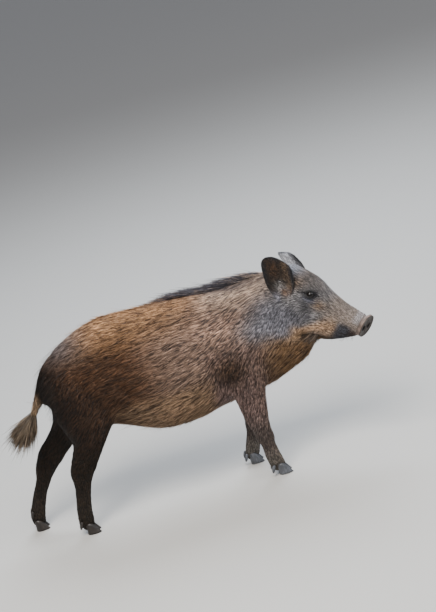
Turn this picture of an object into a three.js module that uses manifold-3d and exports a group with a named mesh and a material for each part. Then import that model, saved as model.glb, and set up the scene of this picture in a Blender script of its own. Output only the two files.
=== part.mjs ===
// A yearling wild boar, life size, walking with its head low and turned a little to its right.
// Millimetres, +Z up, +X towards the head, -Y on the animal's right. The hooves stand on Z = 0.
// The animal is modelled whole from lofts, and thin cuts then part it into its named pieces.
import * as THREE from "three";
import { mergeVertices } from "three/addons/utils/BufferGeometryUtils.js";
import Module from "manifold-3d";

const wasm = await Module();
wasm.setup();

// ---- driving sizes ----
const GAP = 0.35; // between two pieces
const TRACK = 72; // from the middle plane of the body to the middle of each foot
const LIMB_INSET = 26; // a leg's piece starts this far from the middle plane
const HEAD_AT = [450, -25, 519]; // the point midway between the ear bases
const HEAD_DOWN = 34.5; // degrees that the head's axis points below the horizontal
const HEAD_TURN = 35; // degrees that it points to the animal's right
const EYE_RADIUS = 12.5;
const EYE_AT = [78, 36, 31]; // in the head's frame, on its left side
const MUZZLE_END = 244; // where the nose disc begins, along the head's axis
const DISC_TURN = 9; // degrees that the nose disc faces to the right of the head's axis
const NOSTRIL = { apart: 11, deep: 13, wide: 5, high: 6.5 };
// An ear's tip leans back by lean, its front edge ends lower by slant, and blunt squares its end.
const EAR = { length: 127, wide: 47, thick: 5, sunk: 18, lean: 4, slant: 22, blunt: 5.2 };
const HOCK = { z: 255, spread: 50 };
const HOOF = { apart: 11.5, splay: 5, collar: 4 };
const CLAW_APART = 16;
const WIDEST = 160; // more than half the width of the animal
const SIDES = { right: -1, left: 1 };

const finish = (color, roughness) => new THREE.MeshStandardMaterial({ color, roughness, metalness: 0 });
const coat = finish(0x6f4a2f, 0.85);
const greyCoat = finish(0x6b625c, 0.85);
const darkCoat = finish(0x33271f, 0.85);
const noseSkin = finish(0x5b4a43, 0.55);
const eyeball = finish(0x17100c, 0.08);
const horn = finish(0x2b2521, 0.5);

// ---- solids ----
function solid(geometry) {
  const bare = new THREE.BufferGeometry().setAttribute("position", geometry.getAttribute("position"));
  if (geometry.index) bare.setIndex(geometry.index);
  const merged = mergeVertices(bare, 1e-3);
  const corners = merged.index.array;
  const kept = [];
  for (let i = 0; i < corners.length; i += 3) {
    const [a, b, c] = [corners[i], corners[i + 1], corners[i + 2]];
    if (a !== b && b !== c && c !== a) kept.push(a, b, c);
  }
  const vertProperties = merged.attributes.position.array;
  const triVerts = new Uint32Array(kept);
  return new wasm.Manifold(new wasm.Mesh({ numProp: 3, vertProperties, triVerts }));
}

function join(geometries) {
  return geometries.map(solid).reduce((whole, piece) => whole.add(piece));
}

function largestBody(manifold) {
  return manifold.decompose().reduce((a, b) => (b.volume() > a.volume() ? b : a));
}

const boar = new THREE.Group();
function add(name, manifold, material) {
  const { vertProperties, triVerts } = largestBody(manifold).getMesh();
  const geometry = new THREE.BufferGeometry()
    .setAttribute("position", new THREE.BufferAttribute(vertProperties, 3))
    .setIndex(new THREE.BufferAttribute(triVerts, 1));
  const mesh = new THREE.Mesh(geometry, material);
  mesh.name = name;
  boar.add(mesh);
}

// Moves every vertex of a geometry by a function of its place.
function reshape(geometry, move) {
  const position = geometry.getAttribute("position");
  const p = new THREE.Vector3();
  for (let i = 0; i < position.count; i++) {
    move(p.fromBufferAttribute(position, i));
    position.setXYZ(i, p.x, p.y, p.z);
  }
  return geometry;
}

const plain = { around: 12, rings: 1, caps: 2, square: 2, ridge: 0, level: false, ends: [0, 0], grow: 0 };

// A closed body lofted through stations. A station has its centre (x, y, z), half its width across,
// and how far it reaches over and under that centre. Rings stand across X. Where level is true they
// lie flat, and "over" is towards +X. square above 2 makes the section fuller, and ridge narrows its
// upper part. ends are the heights of the two end caps, and grow makes it all larger by that much.
function loft(stations, options) {
  const { around, rings, caps, square, ridge, level, ends, grow } = { ...plain, ...options };
  const centre = new THREE.CatmullRomCurve3(stations.map((s) => new THREE.Vector3(s.x, s.y ?? 0, s.z)));
  const reaches = stations.map((s) => new THREE.Vector3(s.wide, s.over, s.under ?? s.over));
  const reach = new THREE.CatmullRomCurve3(reaches);
  const across = new THREE.Vector3(0, -1, 0);
  const over = level ? new THREE.Vector3(1, 0, 0) : new THREE.Vector3(0, 0, 1);
  const ahead = level ? new THREE.Vector3(0, 0, -1) : new THREE.Vector3(1, 0, 0);
  const fuller = (part) => Math.sign(part) * Math.abs(part) ** (2 / square);
  const capsule = new THREE.CapsuleGeometry(1, 1, caps, around, rings * (stations.length - 1));
  return reshape(capsule, (p) => {
    const along = THREE.MathUtils.clamp(p.y + 0.5, 0, 1);
    const beyond = p.y + 0.5 - along;
    const size = reach.getPoint(along);
    const radius = Math.hypot(p.x, p.z);
    const angle = Math.atan2(p.z, p.x);
    const side = radius * fuller(Math.cos(angle));
    const rise = radius * fuller(Math.sin(angle));
    const narrowed = 1 - ridge * Math.max(0, rise) ** 2;
    p.copy(centre.getPoint(along))
      .addScaledVector(across, side * (size.x * narrowed + grow))
      .addScaledVector(over, rise * ((rise > 0 ? size.y : size.z) + grow))
      .addScaledVector(ahead, beyond * ((beyond > 0 ? ends[1] : ends[0]) + grow));
  });
}

// Pushes the surface away from a point inside it, or in towards it where the amount is negative.
function swell(geometry, { at, from, radius, amount }) {
  const middle = new THREE.Vector3(...at);
  const inside = new THREE.Vector3(...from);
  const away = new THREE.Vector3();
  return reshape(geometry, (p) => {
    const share = Math.exp(-((p.distanceTo(middle) / radius) ** 2));
    p.add(away.subVectors(p, inside).normalize().multiplyScalar(amount * share));
  });
}

function block([x0, x1], [y0, y1], [z0, z1]) {
  const box = new THREE.BoxGeometry(x1 - x0, y1 - y0, z1 - z0);
  return box.translate((x0 + x1) / 2, (y0 + y1) / 2, (z0 + z1) / 2);
}

// An outline in X and Z made as thick as the reach from y0 to y1.
function slab(shape, [y0, y1]) {
  const plate = new THREE.ExtrudeGeometry(shape, { depth: y1 - y0, bevelEnabled: false, curveSegments: 7 });
  return plate.rotateX(Math.PI / 2).translate(0, y1, 0);
}

function outline(points) {
  return new THREE.Shape(points.map(([x, z]) => new THREE.Vector2(x, z)));
}

// ---- trunk and neck: one loft from the rump to the throat ----
const barrel = [
  { x: -308, z: 432, wide: 42, over: 40, under: 44 }, // rump
  { x: -282, z: 430, wide: 70, over: 78, under: 96 },
  { x: -235, z: 425, wide: 94, over: 120, under: 130 }, // croup
  { x: -165, z: 430, wide: 105, over: 147, under: 139 },
  { x: -90, z: 428, wide: 112, over: 166, under: 166 }, // loin
  { x: 0, z: 410, wide: 117, over: 177, under: 189 }, // belly
  { x: 85, z: 408, wide: 115, over: 178, under: 189 },
  { x: 165, z: 412, wide: 108, over: 172, under: 181 }, // girth
  { x: 235, z: 416, wide: 101, over: 158, under: 174 }, // shoulder
  { x: 305, y: -4, z: 422, wide: 92, over: 154, under: 174 },
  { x: 370, y: -12, z: 434, wide: 78, over: 151, under: 162 }, // neck
  { x: 430, y: -26, z: 446, wide: 61, over: 120, under: 148 },
  { x: 470, y: -38, z: 440, wide: 44, over: 50, under: 116 }, // throat
];
function body(grow = 0) {
  return loft(barrel, { around: 20, rings: 2, square: 2.15, ridge: 0.22, ends: [12, 22], grow });
}

// ---- head: lofted in its own frame, X along the head to the nose, Z up from its brow ----
const skull = [
  { x: -52, z: -26, wide: 50, over: 54, under: 60 },
  { x: -20, z: -28, wide: 61, over: 94, under: 90 }, // poll
  { x: 25, z: -30, wide: 65, over: 97, under: 91 },
  { x: 68, z: -32, wide: 62, over: 94, under: 87 }, // eyes
  { x: 104, z: -34, wide: 55, over: 89, under: 78 },
  { x: 138, z: -35, wide: 46, over: 75, under: 67 },
  { x: 170, z: -31, wide: 39, over: 61, under: 58 }, // corner of the mouth
  { x: 200, z: -24, wide: 34, over: 53, under: 46 },
  { x: 225, z: -14, wide: 30, over: 41, under: 37 }, // lips
  { x: 240, z: -7, wide: 28, over: 32.5, under: 31 },
];
const swellings = [
  { at: [66, 38, 54], from: [66, 0, 20], radius: 24, amount: 5 }, // brow
  { at: [102, 42, 22], from: [102, 0, 0], radius: 20, amount: -4 }, // hollow before the eye
  { at: [44, 64, -40], from: [44, 0, -40], radius: 46, amount: 6 }, // cheek
  { at: [200, 34, -12], from: [200, 0, -20], radius: 20, amount: 4 }, // over the canine tooth
];
const inHead = new THREE.Matrix4()
  .makeTranslation(...HEAD_AT)
  .multiply(new THREE.Matrix4().makeRotationZ(THREE.MathUtils.degToRad(-HEAD_TURN)))
  .multiply(new THREE.Matrix4().makeRotationY(THREE.MathUtils.degToRad(HEAD_DOWN)));
const onHead = (geometry) => geometry.applyMatrix4(inHead);

function cranium(grow = 0) {
  const shape = loft(skull, { around: 20, rings: 2, square: 2.5, ridge: 0.06, ends: [10, 0], grow });
  for (const side of Object.values(SIDES))
    for (const { at, ...rest } of swellings) swell(shape, { ...rest, at: [at[0], at[1] * side, at[2]] });
  return onHead(shape);
}

function eye(side, grow = 0) {
  const ball = new THREE.SphereGeometry(EYE_RADIUS + grow, 12, 8);
  return onHead(ball.translate(EYE_AT[0], EYE_AT[1] * side, EYE_AT[2]));
}

// Nose disc: a short flaring plate with a rim, pierced by two nostrils.
const nose = [
  { x: MUZZLE_END - 6, z: -3, wide: 28, over: 31, under: 30 },
  { x: MUZZLE_END + 4, z: 0, wide: 31, over: 37, under: 34 },
  { x: MUZZLE_END + 10, z: 0, wide: 30, over: 36, under: 33 },
];
const tilted = (geometry) =>
  geometry
    .translate(-MUZZLE_END, 0, 0)
    .rotateZ(THREE.MathUtils.degToRad(-DISC_TURN))
    .translate(MUZZLE_END, 0, 0);
const disc = onHead(tilted(loft(nose, { around: 18, square: 2.3, ends: [3, 2] })));
function nostril(side) {
  const pit = new THREE.SphereGeometry(1, 8, 6).scale(NOSTRIL.deep, NOSTRIL.wide, NOSTRIL.high);
  return onHead(tilted(pit.translate(MUZZLE_END + 12, side * NOSTRIL.apart, 0)));
}

// Ears: a leaf of skin curled round its long axis, its hollow towards -Y, its tip at Z = length.
const earPose = {
  right: { base: [7, -56, 5], along: [-0.51, 0.07, 0.79], facing: [0.42, -0.8, 0.02], inner: 1 },
  left: { base: [15, 56, 1], along: [-0.91, 0.24, 0.34], facing: [0.2, 0.81, 0.52], inner: -1 },
};
function ear({ base, along, facing, inner }) {
  const ball = new THREE.SphereGeometry(1, 14, 9).rotateX(Math.PI / 2);
  reshape(ball, (p) => {
    const up = (p.z + 1) / 2;
    const ring = Math.sqrt(Math.max(1 - p.z * p.z, 1e-12));
    const towardsTip = Math.max(0, (up - 0.45) / 0.55);
    const spread = 0.6 + 0.4 * Math.sin((Math.PI / 2) * Math.min(up / 0.5, 1));
    const half = EAR.wide * spread * Math.sqrt(1 - towardsTip ** EAR.blunt);
    const curl = THREE.MathUtils.lerp(1.3, 0.6, up);
    const bend = Math.max(half, 4) / curl;
    const turn = (p.x / ring) * curl;
    const thick = EAR.thick * (1 - 0.45 * up) * Math.min(1, half / EAR.wide + 0.1);
    const out = bend + thick * (p.y / ring);
    const aside = out * Math.sin(turn);
    const slant = EAR.slant * inner * (aside / EAR.wide);
    p.x = aside - EAR.lean * inner * up * up;
    p.y = out * Math.cos(turn) - bend;
    p.z = up * EAR.length - EAR.sunk - slant * up * up;
  });
  const z = new THREE.Vector3(...along).normalize();
  const x = new THREE.Vector3(...facing).negate().cross(z).normalize();
  const y = new THREE.Vector3().crossVectors(z, x);
  return onHead(ball.applyMatrix4(new THREE.Matrix4().makeBasis(x, y, z).setPosition(...base)));
}

// ---- legs: level rings from inside the body down to the hooves ----
const foreRings = [
  { z: 470, y: 50, wide: 38, over: 52, under: 60 }, // shoulder blade
  { z: 400, y: 60, wide: 42, over: 64, under: 70 },
  { z: 335, y: 67, wide: 40, over: 66, under: 66 }, // point of the shoulder
  { z: 282, y: 71, wide: 33, over: 54, under: 52 }, // elbow
  { z: 240, y: TRACK, wide: 28, over: 46, under: 45 },
  { z: 190, y: TRACK, wide: 24, over: 39, under: 37 }, // forearm
  { z: 150, y: TRACK, wide: 21, over: 31, under: 30 },
  { z: 128, y: TRACK, wide: 20, over: 27, under: 26 }, // knee
  { z: 95, y: TRACK, wide: 15, over: 20, under: 20 }, // cannon
  { z: 60, y: TRACK, wide: 17, over: 22, under: 23 }, // fetlock
  { z: 34, y: TRACK, wide: 19, over: 23, under: 23 },
  { z: 15, y: TRACK, wide: 17, over: 17, under: 20 }, // heel
];
const hindRings = [
  { z: 490, y: 46, wide: 40, over: 62, under: 62 }, // hip
  { z: 430, y: 60, wide: 50, over: 84, under: 84 },
  { z: 365, y: 68, wide: 51, over: 92, under: 96 }, // thigh
  { z: 308, y: TRACK, wide: 45, over: 72, under: 76 }, // stifle
  { z: 270, y: TRACK, wide: 36, over: 52, under: 54 },
  { z: 236, y: TRACK, wide: 29, over: 46, under: 54 },
  { z: 210, y: TRACK, wide: 25, over: 44, under: 51 }, // hock
  { z: 180, y: TRACK, wide: 21, over: 33, under: 38 },
  { z: 150, y: TRACK, wide: 18, over: 25, under: 25 },
  { z: 108, y: TRACK, wide: 15, over: 22, under: 23 }, // cannon
  { z: 65, y: TRACK, wide: 17, over: 23, under: 23 }, // fetlock
  { z: 36, y: TRACK, wide: 19, over: 22, under: 22 },
  { z: 15, y: TRACK, wide: 17, over: 18, under: 19 }, // heel
];
// A leg's piece is cut from the body under an arch, and its lower piece at its joint, the knee or hock.
const fore = { rings: foreRings, arch: { rear: 168, front: 342, spring: 400, rise: 125 }, joint: 128 };
const hind = { rings: hindRings, arch: { rear: -490, front: -128, spring: 330, rise: 190 }, joint: 195 };
// The four are in mid stride, so x is where each one's rings stand, and foot is where its hooves are.
// The dewclaws hang back from the foot by claws.back, with their tips claws.up above the floor.
// thrown is how far the point of the hock stands out behind where the leg is pushed back.
const legs = [
  {
    ...fore,
    name: "fore_right",
    side: SIDES.right,
    x: [262, 268, 262, 256, 255, 254, 258, 262, 266, 270, 275, 280],
    foot: 288,
    claws: { back: 30, up: 13 },
  },
  {
    ...fore,
    name: "fore_left",
    side: SIDES.left,
    x: [262, 268, 262, 258, 256, 254, 252, 250, 240, 230, 222, 220],
    foot: 224,
    claws: { back: 27, up: 15 },
  },
  {
    ...hind,
    name: "hind_right",
    side: SIDES.right,
    x: [-212, -210, -206, -206, -216, -234, -250, -266, -277, -288, -298, -300, -296],
    foot: -291,
    claws: { back: 28, up: 24 },
  },
  {
    ...hind,
    name: "hind_left",
    side: SIDES.left,
    x: [-212, -214, -210, -228, -266, -306, -334, -364, -386, -412, -432, -440, -439],
    foot: -439,
    thrown: 26,
    claws: { back: 15, up: 44 },
  },
];
function behindHock(z, thrown = 0) {
  return thrown * Math.exp(-(((z - HOCK.z) / HOCK.spread) ** 2));
}
function limb({ side, rings, x, thrown }) {
  const stations = rings.map((ring, i) => ({
    ...ring,
    x: x[i],
    y: ring.y * side,
    under: ring.under + behindHock(ring.z, thrown),
  }));
  return loft(stations, { square: 2.1, level: true, ends: [30, 6] });
}

// A main hoof is half a cone on a flat sole. A dewclaw is a small blunt one, behind it and higher.
const hoofRings = [
  { x: -5, z: 32, wide: 8.5, over: 9, under: 12 },
  { x: -1, z: 17, wide: 10, over: 17, under: 16 },
  { x: 1, z: 0, wide: 10.5, over: 25, under: 18 },
];
const clawRings = [
  { x: 4, z: 20, wide: 5, over: 6, under: 6 },
  { x: 0, z: 9, wide: 5.5, over: 6, under: 6 },
  { x: -3, z: 0, wide: 3.5, over: 4, under: 3 },
];
function hoof({ side, foot }, toe, grow = 0) {
  const shape = loft(hoofRings, { around: 8, caps: 1, level: true, ends: [HOOF.collar, 0], grow });
  shape.rotateZ(THREE.MathUtils.degToRad(HOOF.splay * toe));
  return shape.translate(foot, TRACK * side + HOOF.apart * toe, 0);
}
function dewclaw({ side, foot, claws }, toe, grow = 0) {
  const shape = loft(clawRings, { around: 6, caps: 1, level: true, ends: [3, 2], grow });
  return shape.translate(foot - claws.back, TRACK * side + CLAW_APART * toe, claws.up);
}

// ---- tail, its tuft and the mane ----
const tailRings = [
  { x: -280, z: 502, wide: 16, over: 18 },
  { x: -297, z: 482, wide: 14, over: 16 },
  { x: -308, z: 450, wide: 12, over: 13 },
  { x: -322, z: 424, wide: 10, over: 12 },
  { x: -334, z: 401, wide: 9, over: 12 },
  { x: -348, z: 380, wide: 8, over: 12 },
  { x: -366, z: 362, wide: 6, over: 10 },
];
const tuftRings = [
  { x: -352, z: 375, wide: 10, over: 16 },
  { x: -371, z: 350, wide: 13, over: 24 },
  { x: -398, z: 322, wide: 15, over: 32 },
  { x: -421, z: 292, wide: 13, over: 30 },
];
const maneRings = [
  { x: 80, z: 582, wide: 6, over: 8, under: 14 },
  { x: 120, z: 584, wide: 13, over: 16, under: 24 },
  { x: 170, z: 583, wide: 15, over: 18, under: 26 },
  { x: 225, z: 576, wide: 15, over: 16, under: 26 },
  { x: 280, y: -2, z: 572, wide: 12, over: 13, under: 22 },
  { x: 325, y: -6, z: 572, wide: 6, over: 8, under: 14 },
];
const tail = (grow = 0) => loft(tailRings, { around: 8, rings: 2, level: true, ends: [8, 6], grow });
const tuft = loft(tuftRings, { around: 10, rings: 2, level: true, ends: [4, 16] });
const mane = loft(maneRings, { around: 8, ends: [20, 20] });

// ---- the eyes and hooves, set in sockets of the whole animal ----
let whole = join([body(), cranium(), disc, tail(), ...legs.map(limb)]);
for (const [name, side] of Object.entries(SIDES)) {
  add(`eye_${name}`, solid(eye(side)), eyeball);
  whole = whole.subtract(solid(eye(side, GAP))).subtract(solid(nostril(side)));
}
for (const leg of legs)
  for (const toe of [-1, 1]) {
    const place = `${leg.name}_${toe === leg.side ? "outer" : "inner"}`;
    add(`hoof_${place}`, solid(hoof(leg, toe)), horn);
    add(`dewclaw_${place}`, solid(dewclaw(leg, toe)), horn);
    whole = whole.subtract(solid(hoof(leg, toe, GAP))).subtract(solid(dewclaw(leg, toe, GAP)));
  }

// ---- the whole animal parted into its pieces ----
// The same region a little larger, so that what is left outside keeps clear of what is inside.
function grown(region) {
  region.computeBoundingBox();
  const size = region.boundingBox.getSize(new THREE.Vector3());
  const middle = region.boundingBox.getCenter(new THREE.Vector3());
  const scale = size.clone().addScalar(2 * GAP).divide(size);
  const centred = region.clone().translate(-middle.x, -middle.y, -middle.z);
  return centred.scale(scale.x, scale.y, scale.z).translate(middle.x, middle.y, middle.z);
}

// Takes what lies inside a region out of the whole, as a piece of its own.
function part(name, region, material, place = (geometry) => geometry) {
  const kept = solid(place(grown(region)));
  add(name, whole.intersect(solid(place(region))), material);
  whole = whole.subtract(kept);
}

// An outline from the ground up, over the top of a limb as half an ellipse, and down again.
function archOutline({ rear, front, spring, rise }) {
  const shape = new THREE.Shape();
  shape.moveTo(rear, -10).lineTo(rear, spring);
  shape.absellipse((rear + front) / 2, spring, (front - rear) / 2, rise, Math.PI, 0, true);
  return shape.lineTo(front, -10);
}

for (const { name, side, arch, joint } of legs) {
  const reach = [LIMB_INSET * side, WIDEST * side].sort((a, b) => a - b);
  part(`${name}_lower`, block([arch.rear, arch.front], reach, [-10, joint]), darkCoat);
  part(`${name}_upper`, slab(archOutline(arch), reach), coat);
}
part("tail", block([-600, -316], [-60, 60], [300, 600]), coat);
part("nose_disc", block([MUZZLE_END, MUZZLE_END + 40], [-60, 60], [-60, 60]), noseSkin, onHead);
// The jaw lies under the line of the mouth and behind it along the jaw's own lower edge.
const underMouth = outline([
  [300, -34],
  [250, -38],
  [205, -43],
  [165, -48],
  [128, -76],
  [104, -140],
  [300, -140],
]);
part("jaw", slab(underMouth, [-80, 80]), greyCoat, onHead);
part("head", block([-34, 320], [-140, 140], [-132, 150]), greyCoat, onHead);
// The neck meets the trunk on a slant, from the withers forward and down to the brisket.
const beforeShoulder = outline([
  [215, 700],
  [700, 700],
  [700, 150],
  [345, 150],
]);
part("neck", slab(beforeShoulder, [-WIDEST, WIDEST]), coat);
add("trunk", whole, coat);

// ---- the ears, mane and tuft, fitted over the surface that they grow from ----
const surface = join([body(GAP), cranium(GAP), tail(GAP)]);
for (const [name, pose] of Object.entries(earPose))
  add(`ear_${name}`, solid(ear(pose)).subtract(surface), greyCoat);
add("mane", solid(mane).subtract(surface), darkCoat);
add("tail_tuft", solid(tuft).subtract(surface), darkCoat);

// The origin lies on the floor under the middle of the animal's box.
const middle = new THREE.Box3().setFromObject(boar).getCenter(new THREE.Vector3());
boar.position.set(-middle.x, -middle.y, 0);

export default boar;
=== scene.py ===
# A yearling wild boar, mounted whole as a still, life-size model: walking, its head low and turned
# a little to its right. +X is towards the head, -Y is its right side, and its hooves are on Z = 0.
import math

import bmesh
import bpy
import numpy as np
from mathutils import Matrix, Vector
from mathutils.bvhtree import BVHTree


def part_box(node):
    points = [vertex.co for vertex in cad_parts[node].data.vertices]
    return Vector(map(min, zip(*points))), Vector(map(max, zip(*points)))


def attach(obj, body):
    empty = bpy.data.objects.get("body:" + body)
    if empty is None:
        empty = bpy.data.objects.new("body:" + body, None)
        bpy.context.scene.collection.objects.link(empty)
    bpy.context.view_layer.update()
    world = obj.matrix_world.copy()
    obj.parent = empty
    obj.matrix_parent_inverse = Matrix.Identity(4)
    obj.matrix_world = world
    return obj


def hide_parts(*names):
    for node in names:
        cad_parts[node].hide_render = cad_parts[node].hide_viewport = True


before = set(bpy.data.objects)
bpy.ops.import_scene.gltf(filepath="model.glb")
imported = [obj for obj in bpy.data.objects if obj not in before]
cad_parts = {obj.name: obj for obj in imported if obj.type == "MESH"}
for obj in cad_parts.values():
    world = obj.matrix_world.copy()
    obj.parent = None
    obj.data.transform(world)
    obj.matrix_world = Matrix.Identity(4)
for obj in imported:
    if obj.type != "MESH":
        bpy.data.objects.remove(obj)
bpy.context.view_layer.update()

# ---- The room ----
# A pale floor, a large soft lamp above the animal's right side, a cooler one behind it, a weak one
# before its head, and the camera, which stands to its right, a little above it, and is rolled.
CAMERA_AT = Vector((-0.093, -5.426, 2.203))
CAMERA_AIM = Vector((0.149, 0.026, 0.518))
CAMERA_ROLL = math.radians(16.5)
CAMERA_LENS = 117.6
FLOOR_HALF = 14.0
FLOOR_DROP = 0.0006  # how far the floor lies under the soles
ROOM_COLOUR = (0.86, 0.9, 1.0, 1)
ROOM_STRENGTH = 0.42


def link(name, data):
    made = bpy.data.objects.new(name, data)
    bpy.context.scene.collection.objects.link(made)
    return made


def shaped(name, shape):
    """A new object with the shape of a bmesh, which is freed."""
    made = link(name, bpy.data.meshes.new(name))
    shape.to_mesh(made.data)
    shape.free()
    return made


camera = link("camera", bpy.data.cameras.new("camera"))
camera.data.lens = CAMERA_LENS
ahead = (CAMERA_AIM - CAMERA_AT).normalized()
across = ahead.cross(Vector((0, 0, 1))).normalized()
upward = across.cross(ahead)
tilted = across * math.cos(CAMERA_ROLL) - upward * math.sin(CAMERA_ROLL)
turned = Matrix((tilted, tilted.cross(ahead), -ahead)).transposed().to_4x4()
camera.matrix_world = Matrix.Translation(CAMERA_AT) @ turned
bpy.context.scene.camera = camera


def lamp(name, place, aim, size, watts, colour):
    made = link(name, bpy.data.lights.new(name, "AREA"))
    made.data.size = size
    made.data.energy = watts
    made.data.color = colour
    turn = (Vector(aim) - Vector(place)).to_track_quat("-Z", "Y")
    made.matrix_world = Matrix.Translation(place) @ turn.to_matrix().to_4x4()


lamp("key lamp", (-0.6, -2.2, 3.6), (0, 0, 0.3), 2.0, 300, (1.0, 0.96, 0.9))
lamp("back lamp", (0.6, 2.4, 3.2), (0, 0, 0.4), 2.4, 190, (0.82, 0.9, 1.0))
lamp("head lamp", (2.8, -1.4, 2.0), (0.2, 0, 0.4), 2.0, 60, (0.9, 0.95, 1.0))

world = bpy.data.worlds.new("room")
world.use_nodes = True
surroundings = world.node_tree.nodes["Background"].inputs
surroundings["Color"].default_value = ROOM_COLOUR
surroundings["Strength"].default_value = ROOM_STRENGTH
bpy.context.scene.world = world


class Wire:
    """A socket in a material. Arithmetic on it adds Math nodes, and node() adds any other kind."""

    def __init__(self, socket):
        self.socket = socket

    @staticmethod
    def node(tree, kind, settings=None, sockets=None, out=0):
        made = tree.nodes.new(kind)
        for name, value in (settings or {}).items():
            if name == "stops":
                for stop in range(len(value) - 2):
                    made.color_ramp.elements.new(0.5)
                for stop, (place, colour) in zip(made.color_ramp.elements, value):
                    stop.position, stop.color = place, colour
            else:
                setattr(made, name, value)
        for name, value in (sockets or {}).items():
            if isinstance(value, Wire):
                tree.links.new(value.socket, made.inputs[name])
            else:
                made.inputs[name].default_value = value
        return Wire(made.outputs[out])

    def math(self, operation, first, second):
        tree = self.socket.id_data
        return Wire.node(tree, "ShaderNodeMath", {"operation": operation}, {0: first, 1: second})

    def into(self, socket):
        self.socket.id_data.links.new(self.socket, socket)

    def __add__(self, other):
        return self.math("ADD", self, other)

    def __sub__(self, other):
        return self.math("SUBTRACT", self, other)

    def __rsub__(self, other):
        return self.math("SUBTRACT", other, self)

    def __mul__(self, other):
        return self.math("MULTIPLY", self, other)

    __radd__ = __add__
    __rmul__ = __mul__


def material(name, roughness):
    """A new material, as itself, its node tree and its main shader."""
    made = bpy.data.materials.new(name)
    made.use_nodes = True
    shader = made.node_tree.nodes["Principled BSDF"]
    shader.inputs["Roughness"].default_value = roughness
    return made, made.node_tree, shader


def tint(red, green, blue):
    """A colour given as on a paint chart, 0 to 255, as the light it sends back."""
    share = np.array((red, green, blue)) / 255
    return np.where(share > 0.04045, ((share + 0.055) / 1.055) ** 2.4, share / 12.92)


painted, tree, shader = material("floor paint", 0.7)
shader.inputs["Base Color"].default_value = (*tint(176, 174, 170), 1)
floor_mesh = bmesh.new()
bmesh.ops.create_grid(floor_mesh, x_segments=1, y_segments=1, size=FLOOR_HALF)
bmesh.ops.translate(floor_mesh, verts=floor_mesh.verts, vec=(0, 0, -FLOOR_DROP))
floor = shaped("floor", floor_mesh)
floor.data.materials.append(painted)

# ---- The skin: the form ----
# The living form in one piece, from the rump to the snout and down to the hooves. It is moulded
# over the solids of the flesh as one surface, smoothed, and drawn in by the depth of the coat.
LEGS = ("fore_right", "fore_left", "hind_right", "hind_left")
# The body's middle plane lies halfway between the hooves of the two sides.
body_y = np.mean([sum(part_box(f"hoof_{leg}_outer"), Vector())[1] / 2 for leg in LEGS])
FLESH = ["trunk", "neck", "head", "jaw", "nose_disc", "tail"]
FLESH += [f"{leg}_{half}" for leg in LEGS for half in ("upper", "lower")]
EARS = ["ear_right", "ear_left"]
MOULD = 0.005  # size of the mould's cells
LAP = 0.001  # how far the solids are swollen, so that they run into each other
# By part: how many rounds of smoothing it gets, and how far its skin lies inside the solid, in mm.
EASING = {
    "trunk": 46, "neck": 46, "head": 18, "jaw": 18, "nose_disc": 3, "tail": 6, "upper": 26, "lower": 8,
}
DEPTH = {
    "trunk": 6.5, "neck": 6, "head": 2.2, "jaw": 2.2, "nose_disc": 0.6, "tail": 3.5, "upper": 4,
    "lower": 0.8,
}
EASING_BY_EAR = 10
DEPTH_BY_EAR = 2


def short(name):
    """The kind of part that a node is, such as upper for fore_right_upper."""
    return name.split("_")[-1] if name.endswith(("upper", "lower")) else name


def read(collection, field, wide=3, kind=float):
    """A field of a mesh's elements, as rows of this many numbers."""
    found = np.empty(len(collection) * wide, dtype=kind)
    collection.foreach_get(field, found)
    return found.reshape(-1, wide)


def edges_of(mesh):
    return read(mesh.edges, "vertices", 2, int)


def give(mesh, name, kind, values):
    """Writes values to a new attribute of a mesh's vertices."""
    field = {"FLOAT": "value", "FLOAT_VECTOR": "vector", "FLOAT_COLOR": "color"}[kind]
    flat = np.ascontiguousarray(values).ravel()
    mesh.attributes.new(name, kind, "POINT").data.foreach_set(field, flat)


def moved(mesh, places):
    """Moves a mesh's vertices to these places."""
    mesh.vertices.foreach_set("co", places.ravel())
    mesh.update()


def smooth(mesh):
    mesh.polygons.foreach_set("use_smooth", [True] * len(mesh.polygons))


def unit(rows, least=0):
    """Each row as a direction. least keeps an empty row from being divided by nothing."""
    return rows / (np.linalg.norm(rows, axis=1)[:, None] + least)


def eased(values, edges, share, rounds):
    """Moves each vertex's values towards the mean of its neighbours', by its share, each round."""
    count = np.bincount(edges.ravel(), minlength=len(values))[:, None]
    both = np.concatenate([edges, edges[:, ::-1]])
    for _ in range(rounds):
        near = [np.bincount(both[:, 0], column[both[:, 1]], len(values)) for column in values.T]
        values = values + share * (np.stack(near, axis=1) / count - values)
    return values


def ramp(value, start, end):
    """0 before start and 1 after end, with a smooth rise between."""
    share = np.clip((value - start) / (end - start), 0, 1)
    return share * share * (3 - 2 * share)


def search_tree(names):
    """A tree that finds the nearest point of these nodes, and which of them each of its faces is on."""
    corners, faces, owner = [], [], []
    for number, name in enumerate(names):
        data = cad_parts[name].data
        data.calc_loop_triangles()
        base = len(corners)
        corners += [vertex.co for vertex in data.vertices]
        faces += [[base + corner for corner in face.vertices] for face in data.loop_triangles]
        owner += [number] * (len(faces) - len(owner))
    return BVHTree.FromPolygons(corners, faces), np.array(owner)


parts = FLESH + EARS
solids, face_part = search_tree(parts)


def part_numbers(places):
    """Which of the parts each of these points is nearest to."""
    return face_part[[solids.find_nearest(place)[2] for place in places]]


form = bmesh.new()
for name in [*FLESH, "eye_right", "eye_left"]:
    form.from_mesh(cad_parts[name].data)
bmesh.ops.remove_doubles(form, verts=form.verts, dist=1e-6)
form.normal_update()
for vertex in form.verts:
    vertex.co += vertex.normal * LAP
rough = shaped("rough form", form)
moulding = rough.modifiers.new("one surface", "REMESH")
moulding.mode = "VOXEL"
moulding.voxel_size = MOULD


def made_real(carrier):
    """A new mesh from an object's, with its modifiers applied."""
    seen = bpy.context.evaluated_depsgraph_get()
    return bpy.data.meshes.new_from_object(carrier.evaluated_get(seen))


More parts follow.
